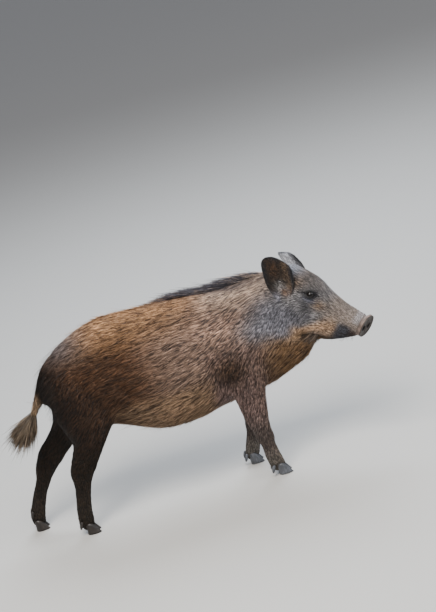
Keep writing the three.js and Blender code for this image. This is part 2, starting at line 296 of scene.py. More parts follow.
mould = made_real(rough)
bpy.data.objects.remove(rough)
places = read(mould.vertices, "co")
number = part_numbers(places)
edges = edges_of(mould)
rounds = np.array([EASING.get(short(name), EASING_BY_EAR) for name in parts], float)[number]
most = int(rounds.max())
share = eased(0.5 * (rounds / most)[:, None], edges, 0.5, 12)
places = eased(places, edges, share, most)
moved(mould, places)
depth = np.array([DEPTH.get(short(name), DEPTH_BY_EAR) for name in parts], float)[number][:, None]
# Under the body the coat is thinner.
downward = ramp(-read(mould.vertex_normals, "vector")[:, 2:], 0.2, 0.8)
body = [parts.index("trunk"), parts.index("neck")]
depth *= 1 - 0.7 * downward * np.isin(number, body)[:, None]
depth = eased(depth, edges, 0.5, 14) / 1000
# Creases run up behind each elbow, and down from each flank in front of the thigh.
# By side: where a crease starts and ends, seen from the side, then its width and its depth.
CREASES = {
    -1: [((0.072, 0.4), (0.098, 0.3), 0.012, 6), ((-0.17, 0.4), (-0.115, 0.33), 0.014, 5),
         ((0.185, 0.45), (0.2, 0.36), 0.02, 3)],
    1: [((0.01, 0.4), (0.036, 0.3), 0.012, 6), ((-0.31, 0.4), (-0.255, 0.33), 0.014, 5),
        ((0.12, 0.45), (0.135, 0.36), 0.02, 3)],
}
for side, creases in CREASES.items():
    on_side = ramp((places[:, 1] - body_y) * side, 0.03, 0.06)
    for start, end, width, deep in creases:
        line = np.array(end) - start
        reach = (places[:, (0, 2)] - start) @ line / (line @ line)
        nearest = np.clip(reach, 0, 1)[:, None] * line
        off = np.linalg.norm(places[:, (0, 2)] - start - nearest, axis=1)
        depth += (deep / 1000 * np.exp(-((off / width) ** 2)) * on_side)[:, None]
places -= depth * read(mould.vertex_normals, "vector")
moved(mould, places)

# ---- The skin: the head ----
# The head's own frame has X along it to the nose, Y to its left and Z up from its brow. Here the
# mesh is made finer, and the lids, the lips, the nostrils and the folds are modelled in it.
HEAD_DOWN = math.radians(34.5)
HEAD_TURN = math.radians(35)
EYE_AT = np.array((78, 36, 31))  # on the left side, in millimetres
EYE_RADIUS = 12.5
EYE_OUT = np.array((0.2, 0.9, 0.4))  # the way that the left eye looks
SLIT_LEAN = math.radians(12)  # how far the slit of the lids rises to the front
MUZZLE_END = 244
MOUTH_CORNER = 157
DISC_TURN = math.radians(9)  # how far the nose disc faces to the right of the head's axis
SIDES = (-1, 1)

eye_places = [(low + high) / 2 for low, high in (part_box("eye_right"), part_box("eye_left"))]
axes = np.array(Matrix.Rotation(-HEAD_TURN, 3, "Z") @ Matrix.Rotation(HEAD_DOWN, 3, "Y"))
between_eyes = np.array((eye_places[0] + eye_places[1]) / 2)
head_at = between_eyes - axes @ (EYE_AT * (1, 0, 1)) / 1000


def to_head(places):
    """Points in the head's frame, in millimetres."""
    return (places - head_at) @ axes * 1000


def from_head(local):
    return head_at + local / 1000 @ axes.T


def round_the_eye(local):
    """How far points are from the middle of the eye on their side, along its slit and over it."""
    gap = np.abs(local) * (0, 1, 0) + local * (1, 0, 1) - EYE_AT
    along = gap[:, 0] * math.cos(SLIT_LEAN) + gap[:, 2] * math.sin(SLIT_LEAN)
    over = gap[:, 2] * math.cos(SLIT_LEAN) - gap[:, 0] * math.sin(SLIT_LEAN)
    return np.linalg.norm(gap, axis=1), along, over


def finer(mesh, chosen):
    """Cuts the faces whose middles are chosen into four."""
    cut = bmesh.new()
    cut.from_mesh(mesh)
    middles = np.array([face.calc_center_median() for face in cut.faces])
    wanted = chosen(middles)
    # A dictionary keeps the edges in the same order in every run, which a set doesn't.
    edges = dict.fromkeys(edge for face, take in zip(cut.faces, wanted) if take for edge in face.edges)
    bmesh.ops.subdivide_edges(cut, edges=list(edges), cuts=1, use_grid_fill=True)
    cut.to_mesh(mesh)
    cut.free()
    return read(mesh.vertices, "co")


def on_head(middles):
    local = to_head(middles)
    return (local[:, 0] > 5) & (np.abs(local[:, 1]) < 90) & (local[:, 2] > -118)


# The mouth's line on either side, from under the disc to its corner.
MOUTH_X = (131, MOUTH_CORNER, 178, 198, 230, MUZZLE_END)
MOUTH_Z = (-54, -47, -43, -39.5, -35, -31)


def above_mouth(local):
    """Height over the line of the mouth, and how far a point is past the mouth's corner."""
    return local[:, 2] - np.interp(local[:, 0], MOUTH_X, MOUTH_Z), MOUTH_CORNER - local[:, 0]


def jaw_at(along):
    """The height of the jaw's lower edge along the head."""
    return np.interp(along, (87, 114, MOUTH_CORNER, 198, MUZZLE_END), (-90, -73, -51.5, -44, -37))


def near_details(middles):
    local = to_head(middles)
    eye = round_the_eye(local)[0] < 27
    above, past = above_mouth(local)
    mouth = (np.abs(above) < 6) & (past < 12)
    return eye | mouth | (local[:, 0] > MUZZLE_END - 41)


finer(mould, on_head)
places = finer(mould, near_details)
local = eased(to_head(places), edges_of(mould), 0.5, 2)


def hollow(distance, width):
    """The share of a groove's depth at a distance from its middle."""
    return np.exp(-((distance / width) ** 2))


# Lids: over the eyeball the skin is as far from the ball's centre as a lid is thick, and in the
# slit between the lids it sinks behind the ball's surface.
SLIT_HALF = 16.5  # half the slit's length
SLIT_UPPER = 11.5  # how far the upper lid bows over the slit's line
SLIT_LOWER = 9.2  # and the lower one under it
LID = 14.3  # from the ball's centre to the outside of a lid
SUNK = 8.5  # from the ball's centre to the skin behind its surface
bare = np.zeros(len(local))
for side in SIDES:
    flip = np.array((1, side, 1))
    outward = EYE_OUT / np.linalg.norm(EYE_OUT)
    forward = np.array((math.cos(SLIT_LEAN), 0, math.sin(SLIT_LEAN)))
    forward -= outward * (forward @ outward)
    forward /= np.linalg.norm(forward)
    raised = np.cross(forward, outward)
    raised *= np.sign(raised[2])
    reach = local * flip - EYE_AT
    distance = np.linalg.norm(reach, axis=1)
    near = distance < 40
    out = reach @ outward
    near &= out > 0
    along = np.arctan2(reach @ forward, out) * LID
    up = np.arctan2(reach @ raised, out) * LID
    bow = np.sqrt(np.clip(1 - (along / SLIT_HALF) ** 2, 0, 1))
    half = np.where(up > 0, SLIT_UPPER, SLIT_LOWER) * bow
    beyond = np.maximum(np.abs(along) - SLIT_HALF, 0)
    inside = half - np.hypot(np.abs(up), beyond)
    open_slit = ramp(inside, -0.3, 0.9)
    close = ramp(inside, -8, -2)
    covered = 0.5 * (distance + LID + np.hypot(distance - LID, 3))
    target = covered * (1 - close) + LID * close
    # The rims of the lids, then a fold in the upper lid and two in the lower one.
    target += 0.9 * hollow(inside + 1.3, 0.9)
    target -= 1.3 * hollow(inside + 4.6, 1.1) * ramp(up, -1, 2)
    target -= 1.0 * hollow(inside + 4.4, 1.2) * ramp(-up, -1, 2)
    target -= 1.0 * hollow(inside + 8.5, 1.6) * ramp(-up, 1, 4)
    target = target * (1 - open_slit) + SUNK * open_slit
    fade = ramp(distance, 34, 24)[:, None] * near[:, None]
    drawn = EYE_AT + reach / distance[:, None] * target[:, None]
    local = np.where(near[:, None], local * (1 - fade) + drawn * flip * fade, local)
    bare = np.maximum(bare, ramp(inside, -6.6, -4.2) * near)
    # The fold that runs from the front corner of the eye down towards the nose.
    fold = (up + 1.5 + 0.12 * (along - SLIT_HALF)) / 1.5
    fold_depth = 1.7 * np.exp(-(fold**2)) * ramp(along, SLIT_HALF - 1, SLIT_HALF + 3)
    local -= (fold_depth * ramp(along, 27, 18) * near)[:, None] * outward * flip

# Lips: the upper lip hangs a little over the lower one, and both are drawn in along their line.
above, past = above_mouth(local)
off_axis = unit((local + (0, 0, 24)) * (0, 1, 1), 1e-9)
mouth_share = ramp(past, 4, -6) * ramp(local[:, 0], MUZZLE_END + 1, MUZZLE_END - 4)
lips = -4.2 * hollow(above, 1.4) + 1.4 * hollow(above - 4, 3) + 0.6 * hollow(above + 4.5, 3)
local += off_axis * (lips * mouth_share)[:, None]
corner = np.hypot(local[:, 0] - MOUTH_CORNER + 2, local[:, 2] + 48)
local -= off_axis * (2.2 * hollow(corner, 4))[:, None]

# Snout: the disc flares past a groove, and the skin behind it is drawn into short folds.
along = local[:, 0]
axis_z = np.interp(along, (190, 225, 240, 248), (-27, -14, -7, 0))
snout_axis = np.stack([along, np.zeros(len(along)), axis_z], axis=1)
ray = unit((local - snout_axis) * (0, 1, 1), 1e-9)
top = ramp(ray[:, 2], -0.7, 0.5)
folds = -2.0 * hollow(along - MUZZLE_END + 5, 2.0)
bridge = 4.5 * ramp(along, 110, 165) * ramp(along, MUZZLE_END - 2, MUZZLE_END - 14)
folds += bridge * ramp(ray[:, 2], 0.1, 0.85)
for behind, deep in ((11, 1.5), (17, 1.4), (23, 1.2), (29.5, 0.9), (37, 0.6)):
    place = MUZZLE_END - behind
    wave = 2.2 * np.sin(3.1 * np.arctan2(local[:, 1], local[:, 2] + 14) + place)
    folds -= deep * hollow(along - place - wave, 1.7) * top
local += ray * folds[:, None]

# Disc: its rim stands round a shallow dish, which holds the two nostrils and a furrow between them.
# It is shaped in a frame of its own, since it faces a little to the right of the head.
DISC = {"wide": 31.0, "over": 36.5, "under": 33.5, "front": 10.0}
disc_axes = np.array(Matrix.Rotation(-DISC_TURN, 3, "Z"))
nose = (local - (MUZZLE_END, 0, 0)) @ disc_axes
tall = np.where(nose[:, 2] > 0, DISC["over"], DISC["under"])
spread = (np.abs(nose[:, 1] / DISC["wide"]) ** 2.3 + np.abs(nose[:, 2] / tall) ** 2.3) ** (1 / 2.3)
disc = ramp(nose[:, 0], -1, 3)
filled_out = ramp(spread, 0.7, 0.85) * (0.985 / np.maximum(spread, 0.7) - 1) * 0.85
nose[:, 1:] *= (1 + disc * filled_out)[:, None]
front = ramp(nose[:, 0], 5, 7.5)
face_at = DISC["front"] - 1.6 * ramp(spread, 0.86, 0.66) + 0.8 * hollow(spread - 0.86, 0.1)
face_at -= 1.4 * hollow(nose[:, 1], 2.2) * ramp(spread, 0.85, 0.5)
nostril = np.zeros(len(nose))
for side in SIDES:
    aside = nose[:, 1] * side - 12.5 - 1.5 * ramp(nose[:, 2], 0, 7)
    hole = np.hypot(aside / 7, (nose[:, 2] + 1) / 9)
    face_at -= 14 * ramp(hole, 1.0, 0.72)
    face_at += 0.9 * hollow(hole - 1.25, 0.2)
    nostril = np.maximum(nostril, ramp(hole, 1.12, 0.9) * front)
nose[:, 0] += front * (face_at - nose[:, 0])
disc_face = front * ramp(spread, 1.02, 0.9)
local = nose @ disc_axes.T + (MUZZLE_END, 0, 0)
bare = np.maximum(bare, ramp(local[:, 0], MUZZLE_END - 11, MUZZLE_END - 3))
bare = np.maximum(bare, hollow(above, 2.4) * mouth_share * ramp(local[:, 0], 168, 186))
moved(mould, from_head(local))

# ---- The skin: the ears ----
# Each ear is a leaf of gristle and skin curled round its long axis. It is made round an upright
# axis, its hollow towards -Y, then set in the head and joined to it as one surface.
EAR = {"length": 126, "wide": 46, "thick": 3.4, "sunk": 18, "lean": 4, "skew": 22}
EAR_POSE = {
    "right": {
        "base": (7, -56, 5), "along": (-0.51, 0.07, 0.79), "facing": (0.42, -0.8, 0.02), "side": 1,
    },
    "left": {
        "base": (15, 56, 1), "along": (-0.91, 0.24, 0.34), "facing": (0.2, 0.81, 0.52), "side": -1,
    },
}


def ear_axes(pose):
    """The ear's own frame: across its front, out of its back and along it."""
    upright = np.array(pose["along"]) / np.linalg.norm(pose["along"])
    sideways = np.cross(-np.array(pose["facing"]), upright)
    sideways /= np.linalg.norm(sideways)
    return np.stack([sideways, np.cross(upright, sideways), upright], axis=1)


def ball_form(around, up):
    """The corners and faces of a ball of radius 1. Its faces come in another order in each run,
    so they are put in one order here."""
    ball = bmesh.new()
    bmesh.ops.create_uvsphere(ball, u_segments=around, v_segments=up, radius=1)
    ball.verts.index_update()
    faces = [[vertex.index for vertex in face.verts] for face in ball.faces]
    spots = np.array([vertex.co for vertex in ball.verts])
    ball.free()
    return spots, sorted(faces, key=sorted)


def surface(places, faces):
    """A surface in the making, from the places of its corners and their numbers in each face."""
    made = bmesh.new()
    corners = [made.verts.new(place) for place in places]
    for face in faces:
        made.faces.new([corners[number] for number in face])
    return made


def ear_form(pose):
    ball, faces = ball_form(56, 40)
    rise = (ball[:, 2] + 1) / 2
    ring = np.maximum(np.hypot(ball[:, 0], ball[:, 1]), 1e-6)
    spread = 0.46 + 0.54 * np.sin(np.pi / 2 * np.minimum(rise / 0.5, 1))
    tip = np.clip((rise - 0.45) / 0.55, 0, 1)
    half = EAR["wide"] * spread * np.sqrt(np.clip(1 - tip**5.2, 0, 1))
    curl = 1.36 + (0.6 - 1.36) * rise
    bend = np.maximum(half, 4) / curl
    turn = ball[:, 0] / ring * curl
    thick = EAR["thick"] * (1 - 0.35 * rise) * np.minimum(1, half / EAR["wide"] + 0.1)
    out = bend + thick * ball[:, 1] / ring
    x = out * np.sin(turn)
    z = rise * EAR["length"] - EAR["sunk"] - EAR["skew"] * pose["side"] * rise**2 * x / EAR["wide"]
    x = x - EAR["lean"] * pose["side"] * rise**2
    y = out * np.cos(turn) - bend
    local = np.array(pose["base"]) + np.stack([x, y, z], axis=1) @ ear_axes(pose).T
    return shaped("ear form", surface(from_head(local), faces))


skin = link("skin", mould)
give(mould, "bare", "FLOAT", bare)
give(mould, "disc", "FLOAT", disc_face + nostril)
for pose in EAR_POSE.values():
    ear = ear_form(pose)
    grafting = skin.modifiers.new("ear", "BOOLEAN")
    grafting.operation = "UNION"
    grafting.solver = "MANIFOLD"
    grafting.object = ear
    bpy.context.view_layer.update()
    grafted = made_real(skin)
    skin.modifiers.clear()
    skin.data = grafted
    bpy.data.objects.remove(ear)

# Where an ear grows from the head the two run into each other in a soft fold.
head_solids = search_tree(["head", "neck"])[0]
ear_solids = search_tree(EARS)[0]
places = read(skin.data.vertices, "co")
edges = edges_of(skin.data)
by_ear = np.flatnonzero(np.abs(to_head(places) - (10, 0, 30)).max(axis=1) < 130)
fold_share = np.zeros((len(places), 1))
for vertex in by_ear:
    apart = max(solid.find_nearest(places[vertex])[3] for solid in (head_solids, ear_solids))
    fold_share[vertex] = 0.5 * float(ramp(apart, 0.009, 0.004))
places = eased(places, edges, fold_share, 14)
smooth(skin.data)
moved(skin.data, places)

# ---- The coat: its lie and its colours ----
# Bristles with darker roots and paler ends. Every point of the skin is given the way that they lie
# there, their length, and a darker and a lighter colour, which skin and coat share.
# By part: the length of the hairs, half a lock's width, how far the ends lift, and the spacing.
HAIR = {
    "trunk": (36, 0.88, 4.8, 2.62),
    "neck": (32, 0.9, 4.6, 2.6),
    "head": (13, 0.8, 1.8, 2.55),
    "jaw": (15, 1.0, 2.4, 2.8),
    "nose_disc": (3, 0.6, 0.4, 3.0),
    "ear_right": (9, 0.9, 1.2, 2.5),
    "ear_left": (9, 0.9, 1.2, 2.5),
    "tail": (34, 1.2, 8, 2.3),
    "upper": (20, 1.25, 3.2, 3.2),
    "lower": (11, 1.0, 1.4, 2.6),
}
LIE = {
    "trunk": (-1, 0, -0.14),
    "neck": (-1, 0, -0.36),
    "tail": (-0.4, 0, -1),
    "fore_right_upper": (-0.35, 0, -1),
    "fore_left_upper": (-0.35, 0, -1),
    "hind_right_upper": (-0.8, 0, -0.75),
    "hind_left_upper": (-0.8, 0, -0.75),
}
number = part_numbers(places)
local = to_head(places)
outward = read(skin.data.vertex_normals, "vector")
bare, disc = (read(skin.data.attributes[name].data, "value", 1)[:, 0] for name in ("bare", "disc"))


def is_part(*names):
    return np.isin(number, [parts.index(name) for name in names])


lie = np.array([LIE.get(name, (-0.12, 0, -1)) for name in parts], float)[number]
headed = is_part("head", "jaw", "nose_disc")
cheek = ramp(local[:, 2], 15, -30) * ramp(local[:, 0], 150, 60)
backward = np.stack([-1 + 0.75 * cheek, np.zeros(len(local)), -1.1 * cheek], axis=1) @ axes.T
lie[headed] = backward[headed]
ear_side, ear_rise, ear_hollow = np.zeros((3, len(places)))
for name, pose in zip(EARS, EAR_POSE.values()):
    mine, frame_of = is_part(name), ear_axes(pose)
    within = (local[mine] - np.array(pose["base"])) @ frame_of
    ear_side[mine] = within[:, 0] * pose["side"] / 40
    first = (within[:, 2] + EAR["sunk"]) / EAR["length"]
    ear_rise[mine] = first + EAR["skew"] / EAR["length"] * first**2 * ear_side[mine] * 40 / EAR["wide"]
    ear_hollow[mine] = ramp(outward[mine] @ axes @ frame_of[:, 1], 0.1, -0.2)
    back_and_up = frame_of[:, 2] - 0.9 * frame_of[:, 0] * pose["side"]
    lie[mine] = np.where(ear_hollow[mine, None] > 0.5, axes @ back_and_up, axes @ frame_of[:, 2])
lie[:, 1] -= 0.25 * np.sign(places[:, 1] - body_y) * ramp(places[:, 2], 0.33, 0.24) * is_part("trunk")
hair = np.array([HAIR[short(name)] for name in parts], float)[number]
hair_left = 1 - ramp(local[:, 0], 150, 235) * headed
hair[:, 0] *= 0.4 + 0.6 * hair_left
hair[:, 1] *= 0.62 + 0.38 * hair_left
hair[:, 2] *= 0.35 + 0.65 * hair_left
hair[:, 3] *= 0.8 + 0.2 * hair_left
round_eye, along_slit, over_slit = round_the_eye(local)
hair[:, :3] *= (1 - 0.5 * hollow(round_eye, 28) * headed)[:, None]
on_shoulder = ramp(places[:, 2], 0.33, 0.43) * is_part("fore_right_upper", "fore_left_upper")
lie += on_shoulder[:, None] * ((-0.9, 0, -0.4) - lie)
lie = eased(lie, edges, 0.5, 60)
hair[:, 2] += 4 * ramp(-outward[:, 2], 0.2, 0.8) * is_part("trunk", "neck")
hair = eased(hair, edges, 0.5, 20)
lie = unit(lie - outward * np.sum(lie * outward, axis=1)[:, None], 1e-9)


def uneven(places, size, seed):
    """A smooth pattern of patches about this size across, from -1 to 1."""
    chance = np.random.default_rng(seed)
    total = np.zeros(len(places))
    for _ in range(7):
        way = chance.normal(size=3)
        total += np.sin(places @ (way / np.linalg.norm(way)) * (np.pi / size) + chance.uniform(0, 6.3))
    return np.clip(total / 2.6, -1, 1)


x, y, z = places.T
up = (z - 0.42) / 0.165
trunk = is_part("trunk", "neck")
fore = is_part("fore_right_upper", "fore_left_upper", "fore_right_lower", "fore_left_lower")
hind = is_part("hind_right_upper", "hind_left_upper", "hind_right_lower", "hind_left_lower")
eared = is_part(*EARS)
head_x, _, head_z = local.T
faced = ramp(head_x, -80, 10) * ramp(head_z, -140, -100)
over_jaw = head_z - jaw_at(head_x)


def spot(middle_x, middle_z, wide, high):
    """1 in the middle of an oval on the body's sides, falling to nothing outside it."""
    return hollow(np.hypot((x - middle_x) / wide, (z - middle_z) / high), 1)


def head_spot(middle_x, middle_z, wide, high):
    """The same on the head's sides, in its own frame."""
    return faced * hollow(np.hypot((head_x - middle_x) / wide, (head_z - middle_z) / high), 1)


hollow_face = eared * ear_hollow
rim_of_ear = np.maximum(ramp(ear_side, -0.72, -0.95), ramp(ear_rise, 0.86, 0.96))
front_of_ear = ramp(ear_side, 0.62, 0.8)
# Each layer is where it shows, then its darker and its lighter colour; some are painted shade or sheen.
LAYERS = [
    (np.ones(len(x)), (43, 37, 36), (179, 148, 128)),  # flank
    (ramp(x, 0.02, -0.14) * ramp(z, 0.6, 0.54), (24, 16, 11), (120, 84, 58)),  # rear of the flank
    (ramp(up, 0.35, 0.95), (66, 46, 34), (219, 169, 122)),  # back
    (ramp(up, 0.35, 0.85) * ramp(x, -0.18, -0.32), (45, 42, 45), (156, 147, 148)),  # top of the rump
    (ramp(z, 0.37, 0.32), (44, 34, 27), (184, 150, 118)),  # belly
    (ramp(x, -0.02, 0.16) * ramp(up, 1.15, 0.6) * ramp(z, 0.38, 0.45),
     (61, 54, 54), (194, 158, 136)),  # shoulder
    (ramp(x, 0.14, 0.3), (60, 58, 61), (190, 161, 144)),  # neck
    (ramp(x, 0.08, 0.17) * ramp(z, 0.5, 0.57), (92, 82, 79), (255, 223, 196)),  # nape
    (ramp(x, -0.1, -0.4) * ramp(up, 0.95, 0.05), (22, 15, 11), (98, 68, 48)),  # rump
    (spot(-0.2, 0.4, 0.09, 0.07), (20, 14, 10), (94, 66, 46)),  # front of the thigh
    (hind * ramp(z, 0.52, 0.36), (16, 11, 8), (76, 53, 37)),  # thigh
    (ramp(x, -0.28, -0.4) * ramp(z, 0.62, 0.48), (6, 4, 2), (28, 17, 9)),  # painted shade behind the thigh
    (hind * ramp(z, 0.32, 0.22), (10, 7, 4), (46, 32, 19)),  # hind leg
    (hind * ramp(z, 0.16, 0.08), (17, 14, 11), (58, 47, 36)),  # hind pastern
    (fore * ramp(z, 0.46, 0.38), (62, 50, 47), (148, 122, 114)),  # upper arm
    (fore * ramp(z, 0.24, 0.15), (51, 44, 42), (108, 95, 89)),  # foreleg
    (fore * ramp(z, 0.1, 0.06), (56, 52, 48), (124, 116, 108)),  # fore pastern
    (spot(0.13, 0.365, 0.06, 0.042), (36, 28, 22), (122, 95, 76)),  # low on the girth
    (spot(0.135, 0.352, 0.035, 0.035), (18, 13, 10), (74, 54, 40)),  # painted shade behind the elbow
    (faced, (52, 51, 53), (143, 140, 141)),  # face
    (faced * ramp(head_z, 0, -40) * ramp(head_x, 110, 60), (62, 62, 67), (153, 151, 160)),  # cheek
    (faced * ramp(head_z, 30, 62), (36, 34, 34), (111, 103, 99)),  # forehead
    (faced * ramp(head_z, 48, 66) * ramp(head_x, 50, 10),
     (80, 83, 92), (196, 201, 214)),  # poll, pale grey hair, partly a painted sky sheen
    (faced * ramp(head_x, 120, 165), (78, 69, 63), (160, 147, 138)),  # muzzle
    (faced * ramp(head_x, 212, 224) * ramp(head_z, 0, 12),
     (90, 85, 84), (180, 174, 174)),  # above the snout
    (head_spot(30, 46, 24, 18), (38, 31, 26), (128, 107, 90)),  # between the brow and the ear
    (head_spot(18, 13, 13, 9), (44, 31, 23), (126, 92, 64)),  # below the ear's mouth
    (head_spot(118, 14, 20, 12), (64, 50, 40), (162, 136, 110)),  # in front of the eye
    (faced * hollow(over_jaw - 13, 12 + 12 * ramp(head_x, 110, 160)) * ramp(head_x, 50, 85)
     * ramp(head_x, 187, 178),
     (89, 66, 50), (224, 187, 152)),  # pale band over the jaw
    (ramp(x, 0.16, 0.3) * ramp(over_jaw, 2, -34) * ramp(head_x, 200, 172) * ramp(head_x, -60, 60),
     (30, 20, 14), (150, 116, 82)),  # throat
    (spot(0.345, 0.392, 0.035, 0.012), (72, 52, 36), (210, 168, 120)),  # pale hairs under the jaw
    (faced * hollow(head_z - np.interp(head_x, (87, 114, 150, 185), (-92, -83, -76, -72)), 6)
     * ramp(head_x, 60, 100), (16, 11, 8), (48, 35, 26)),  # painted shadow in the crease under the jaw
    (faced * ramp(head_x, 185, 205) * ramp(over_jaw, 8, 0), (30, 24, 23), (66, 54, 50)),  # chin
    (faced * ramp(head_x, 206, 218) * ramp(head_z, -12, -24),
     (36, 26, 24), (84, 64, 58)),  # under the snout
    (faced * ramp(head_x, 180, 189) * ramp(head_x, 228, 212) * ramp(head_z, -1, -17),
     (33, 33, 37), (94, 95, 104)),  # dark patch of the lips
    (head_spot(88, 3, 17, 10), (22, 22, 25), (70, 70, 76)),  # pouch under the eye
    (head_spot(98, -24, 13, 14), (38, 37, 41), (104, 102, 108)),  # hollow of the cheek
    (head_spot(86, 20, 17, 6), (50, 52, 62), (104, 108, 122)),  # bag of the lower lid
    (faced * ramp(round_eye, 32, 25)
     * ramp(np.hypot((along_slit - 6) / 20, (over_slit - 1) / 11), 1.3, 0.85),
     (13, 12, 17), (38, 37, 47)),  # round the eye
    (eared, (106, 107, 113), (216, 218, 226)),  # back of the ear, grey, partly a painted sky sheen
    (hollow_face, (9, 7, 6), (48, 35, 25)),  # its hollow
    (hollow_face * hollow(np.hypot((ear_side + 0.3) / 0.24, (ear_rise - 0.7) / 0.16), 1),
     (20, 14, 9), (98, 67, 41)),  # rusty hairs deep in it
    (hollow_face * ramp(ear_side, 0.32, 0.45), (36, 28, 22), (124, 101, 80)),  # band inside its front
    (eared * ramp(ear_rise, 0.2, 0.12), (66, 65, 71), (156, 153, 162)),  # its foot
    (eared * ramp(ear_rise, 0.22, 0.14) * ramp(ear_side, -0.2, 0.1),
     (44, 31, 23), (126, 92, 64)),  # brown hairs at the front of its foot
    (hollow_face * hollow(np.hypot((ear_side + 0.02) / 0.24, (ear_rise - 0.3) / 0.08), 1),
     (92, 88, 88), (192, 188, 186)),  # pale hairs at its mouth
    (eared * np.maximum(rim_of_ear, front_of_ear) * ramp(ear_rise, 0.2, 0.3),
     (13, 13, 15), (42, 41, 45)),  # its rim
    (is_part("tail").astype(float), (72, 58, 46), (180, 150, 118)),  # tail
    (is_part("tail") * ramp(z, 0.4, 0.46), (18, 14, 12), (60, 46, 36)),  # root of the tail
    (hollow(y - body_y + 0.03 * ramp(x, 0.1, 0.3), 0.013) * ramp(x, -0.12, 0.11) * ramp(x, 0.38, 0.2)
     * ramp(up, 0.5, 0.8) * trunk, (38, 36, 42), (96, 92, 100)),  # dark line of the back
]
dark = np.zeros_like(places)
light = np.zeros_like(places)
for shows, darker, lighter in LAYERS:
    dark += np.clip(shows, 0, 1)[:, None] * (tint(*darker) - dark)
    light += np.clip(shows, 0, 1)[:, None] * (tint(*lighter) - light)
patchy = (1 + 0.16 * uneven(places, 0.05, 3) + 0.1 * uneven(places, 0.02, 4))[:, None]
dark = eased(dark * patchy, edges, 0.5, 12)
light = eased(light * patchy, edges, 0.5, 12)


def opaque(colours):
    return np.concatenate([colours, np.ones((len(colours), 1))], axis=1)


under = dark * 0.75 + light * 0.12  # the skin between the locks
nose_colour = tint(104, 90, 83) * (1 + 0.3 * uneven(places, 0.008, 9))[:, None]
bare_colour = np.where((head_x > 150)[:, None], nose_colour, tint(11, 11, 14))
above, past = above_mouth(local)
for share, colour in (
    (hollow(above, 3.5) * ramp(past, 8, -2) * (head_x < MUZZLE_END), tint(30, 24, 24)),  # lips
    (ramp(disc, 0.1, 0.8), tint(42, 32, 26)),  # face of the nose disc
    (ramp(disc, 1.1, 1.7), tint(8, 6, 6)),  # nostrils
):
    bare_colour += share[:, None] * (colour - bare_colour)
skin_colour = under * (1 - bare[:, None]) + bare_colour * bare[:, None]
give(skin.data, "marking", "FLOAT_COLOR", opaque(skin_colour))


def carried(tree, name, out):
    """What a mesh carries at its vertices under this name."""
    return Wire.node(tree, "ShaderNodeAttribute", {"attribute_name": name}, out=out)


def object_point(tree):
    return Wire.node(tree, "ShaderNodeTexCoord", out="Object")


def noise(tree, point, scale, detail):
    """Clouds from 0 to 1, of which a higher scale gives smaller ones."""
    sockets = {"Vector": point, "Scale": scale, "Detail": detail}
    return Wire.node(tree, "ShaderNodeTexNoise", None, sockets, out="Fac")


def shaded(tree, shader, colour, amount):
    """Gives a material this colour, lighter or darker by an amount that varies over it."""
    sockets = {0: colour, "Scale": amount}
    shade = Wire.node(tree, "ShaderNodeVectorMath", {"operation": "SCALE"}, sockets)
    shade.into(shader.inputs["Base Color"])


def relief(tree, shader, strength, distance, height):
    """Gives a material a fine relief."""
    sockets = {"Strength": strength, "Distance": distance, "Height": height}
    Wire.node(tree, "ShaderNodeBump", None, sockets).into(shader.inputs["Normal"])


skinned, tree, shader = material("skin", 0.6)
shader.inputs["Specular IOR Level"].default_value = 0.3
point = object_point(tree)
pores = noise(tree, point, 420.0, 3.0)
cells = Wire.node(tree, "ShaderNodeTexVoronoi", None, {"Vector": point, "Scale": 330.0}, out="Distance")
shaded(tree, shader, carried(tree, "marking", "Color"), 0.72 + 0.56 * pores)
(0.66 - 0.22 * carried(tree, "bare", "Fac") + 0.12 * pores).into(shader.inputs["Roughness"])
relief(tree, shader, 0.5, 0.0012, pores + 0.6 * cells)
skin.data.materials.clear()
skin.data.materials.append(skinned)
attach(skin, "root")
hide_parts(*FLESH, *EARS)

# ---- The eyes ----
# Each is a moist dark ball with a bulge at its front, set in the slit of its lids. The iris is deep
# brown round a wide pupil.
IRIS = 8.2
PUPIL = 4.6
eye_glass, tree, shader = material("eye", 0.15)
shader.inputs["IOR"].default_value = 1.36
fibres = noise(tree, object_point(tree), 900.0, 2.0)


def banded(tree, shader, stops, place):
    """Gives a material bands of colour that run into each other. place goes over them, 0 to 1."""
    stops = [(start, (*tint(*colour), 1)) for start, colour in stops]
    bands = Wire.node(tree, "ShaderNodeValToRGB", {"stops": stops}, {"Fac": place}, out="Color")
    bands.into(shader.inputs["Base Color"])


banded(
    tree,
    shader,
    [
        (0.0, (6, 5, 6)),
        (PUPIL / EYE_RADIUS, (8, 6, 6)),
        (PUPIL / EYE_RADIUS + 0.06, (22, 16, 14)),
        (IRIS / EYE_RADIUS, (17, 13, 12)),
        (IRIS / EYE_RADIUS + 0.08, (14, 12, 13)),
    ],
    carried(tree, "from gaze", "Fac") + 0.06 * fibres - 0.03,
)
for name, side in (("eye_right", -1), ("eye_left", 1)):
    spots, faces = ball_form(36, 24)
    gaze = EYE_OUT / np.linalg.norm(EYE_OUT) * (1, side, 1)
    ahead_share = spots @ gaze
    off_gaze = np.linalg.norm(spots - ahead_share[:, None] * gaze, axis=1)
    bulge = EYE_RADIUS + 0.5 * np.exp(-((off_gaze / 0.5) ** 2)) * (ahead_share > 0)
    ball_places = from_head(EYE_AT * (1, side, 1) + spots * bulge[:, None])
    eye = shaped(f"{name}_ball", surface(ball_places, faces))
    give(eye.data, "from gaze", "FLOAT", np.where(ahead_share > 0, off_gaze, 2 - off_gaze))
    smooth(eye.data)
    eye.data.materials.append(eye_glass)
    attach(eye, "root")
    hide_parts(name)

# ---- The hooves and dewclaws ----
# Horn, hard and a little glossy, in fine upright ridges, slate grey on the fore feet and nearly
# black on the hind ones, where earth has not worn it pale. Each is rounded off its plain solid,
# and its sole stays flat on the floor.


